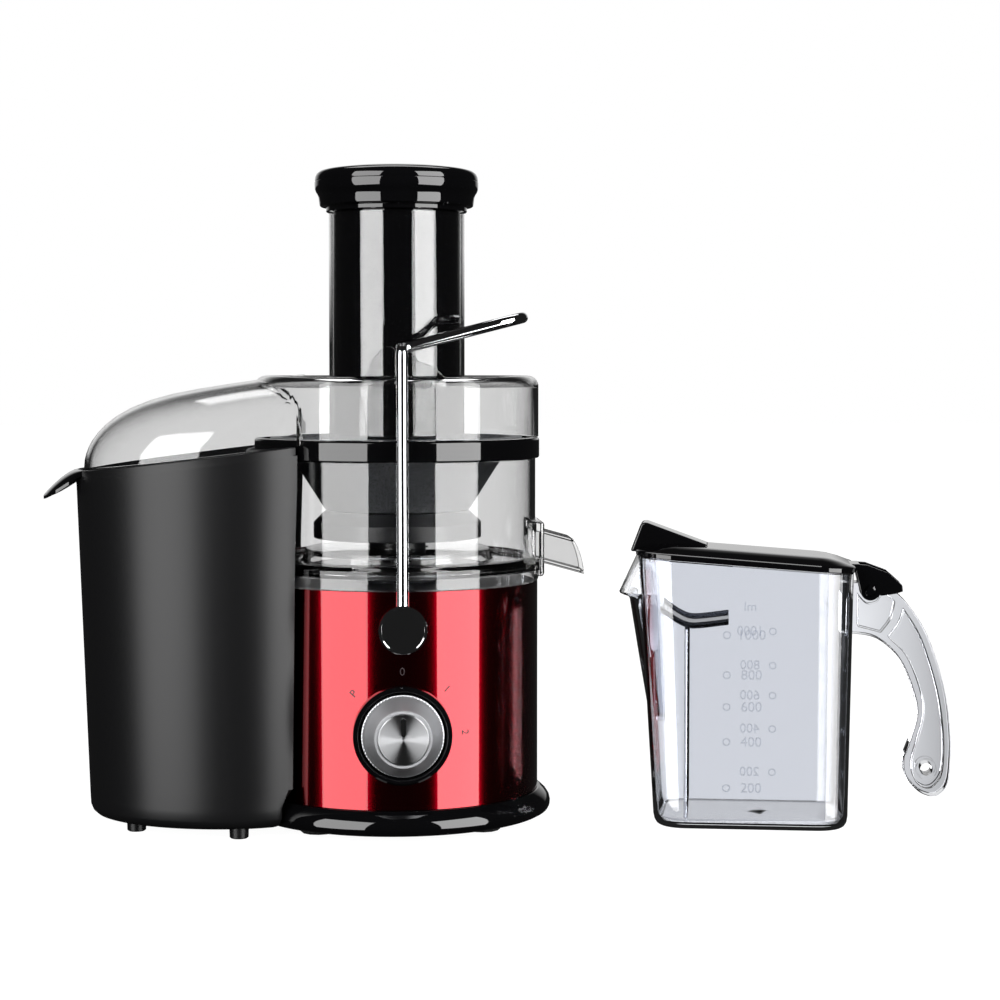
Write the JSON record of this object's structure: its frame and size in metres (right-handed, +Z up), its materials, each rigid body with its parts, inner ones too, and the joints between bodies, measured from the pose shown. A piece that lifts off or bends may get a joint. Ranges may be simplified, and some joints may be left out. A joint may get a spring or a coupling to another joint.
{
  "type": "centrifugal juicer",
  "caption": "Centrifugal juicer: motor base, clear bowl and lid with feed chute and pusher, locking bail, side pulp container and a lidded juice jug.",
  "frame": {"origin": "centre of the whole set's footprint, on the surface it stands on", "axes": "+X from the pulp container past the juicer to the jug, +Y to the back, +Z up"},
  "size_m": [0.5236, 0.1982, 0.38],
  "materials": {
    "red_lacquered_steel": "candy red lacquer over bright steel",
    "gloss_black_plastic": "polished moulding",
    "satin_black_plastic": "fine satin moulding",
    "clear_plastic": "clear polished moulding",
    "chrome_plate": "mirror",
    "steel": "brushed",
    "rubber_foot": "matt",
    "lamination": "stacked sheet",
    "copper": "enamelled wire and copper bars",
    "carbon": "pressed carbon",
    "circuit_board": "solder mask"
  },
  "bodies": {
    "base": {"foot_front_left": "rubber_foot", "foot_front_right": "rubber_foot", "foot_back_left": "rubber_foot", "foot_back_right": "rubber_foot", "bottom_plate": "satin_black_plastic", "base_skirt": "gloss_black_plastic", "red_shell": "red_lacquered_steel", "motor_deck": "satin_black_plastic", "cord_gland": "rubber_foot", "latch_pin_front": "steel", "latch_pin_back": "steel", "knob_bezel": "gloss_black_plastic", "rotary_switch": "satin_black_plastic", "speed_board": "circuit_board", "interlock_switch": "satin_black_plastic", "stator_core": "lamination", "lower_bracket": "steel", "upper_bracket": "steel", "lower_bearing": "steel", "upper_bearing": "steel", "shaft_seal": "rubber_foot", "field_coil_left": "copper", "field_coil_right": "copper", "brush_holder_left": "satin_black_plastic", "brush_holder_right": "satin_black_plastic", "carbon_brush_left": "carbon", "carbon_brush_right": "carbon", "motor_mount_front_left": "rubber_foot", "motor_mount_front_right": "rubber_foot", "motor_mount_back_left": "rubber_foot", "motor_mount_back_right": "rubber_foot", "juice_bowl": "clear_plastic", "bowl_rim_ring": "gloss_black_plastic", "juice_spout": "clear_plastic"},
    "rotor": {"motor_shaft": "steel", "armature_core": "lamination", "armature_winding_lower": "copper", "armature_winding_upper": "copper", "commutator": "copper", "cooling_fan": "satin_black_plastic", "drive_coupling": "satin_black_plastic", "basket_hub": "satin_black_plastic", "filter_basket": "steel", "grater_disc": "steel"},
    "latch": {"latch_bail": "chrome_plate", "latch_hub_front": "chrome_plate", "latch_hub_back": "chrome_plate"},
    "cover": {"lid": "clear_plastic"},
    "pusher": {"pusher_body": "gloss_black_plastic", "pusher_cap": "gloss_black_plastic"},
    "knob": {"control_knob": "chrome_plate", "knob_face": "steel", "knob_shaft": "steel"},
    "bin": {"pulp_container": "satin_black_plastic"},
    "jug": {"jug_body": "clear_plastic", "jug_hinge_pin": "gloss_black_plastic"},
    "jug_cover": {"jug_lid": "gloss_black_plastic"},
    "separator": {"froth_separator": "clear_plastic"}
  },
  "joints": [
    {"name": "latch_swing", "type": "hinge", "parent": "base", "child": "latch", "pos_m": [-0.05777, 0.0011, 0.12], "axis": [0, 1, 0], "range_deg": [0, 100]},
    {"name": "lid_lift", "type": "slide", "parent": "base", "child": "cover", "axis": [0, 0, 1], "range_m": [0, 0.0175]},
    {"name": "bin_slide", "type": "slide", "parent": "base", "child": "bin", "axis": [-1, 0, 0], "range_m": [0, 0.105]},
    {"name": "pusher_slide", "type": "slide", "parent": "cover", "child": "pusher", "axis": [0, 0, 1], "range_m": [0, 0.16]},
    {"name": "basket_spin", "type": "hinge", "parent": "base", "child": "rotor", "pos_m": [-0.05777, 0.0011, 0.18], "axis": [0, 0, 1], "continuous": true},
    {"name": "knob_turn", "type": "hinge", "parent": "base", "child": "knob", "pos_m": [-0.05777, -0.0909, 0.0605], "axis": [0, 1, 0], "range_deg": [-50, 90]},
    {"name": "jug_draw", "type": "slide", "parent": "base", "child": "jug", "axis": [1, 0, 0], "range_m": [0, 0.126]},
    {"name": "jug_lid_open", "type": "hinge", "parent": "jug", "child": "jug_cover", "pos_m": [0.2141, -0.03669, 0.1352], "axis": [0.1736, 0.9848, 0], "range_deg": [0, 95]},
    {"name": "separator_lift", "type": "slide", "parent": "jug", "child": "separator", "axis": [0, 0, 1], "range_m": [0, 0.092]}
  ],
  "couplings": [
    {"joint": "lid_lift", "follows": "latch_swing", "m_per_rad": 0.01},
    {"joint": "bin_slide", "follows": "latch_swing", "m_per_rad": 0.06},
    {"joint": "jug_draw", "follows": "latch_swing", "m_per_rad": 0.072},
    {"joint": "separator_lift", "follows": "jug_lid_open", "m_per_rad": 0.055}
  ]
}
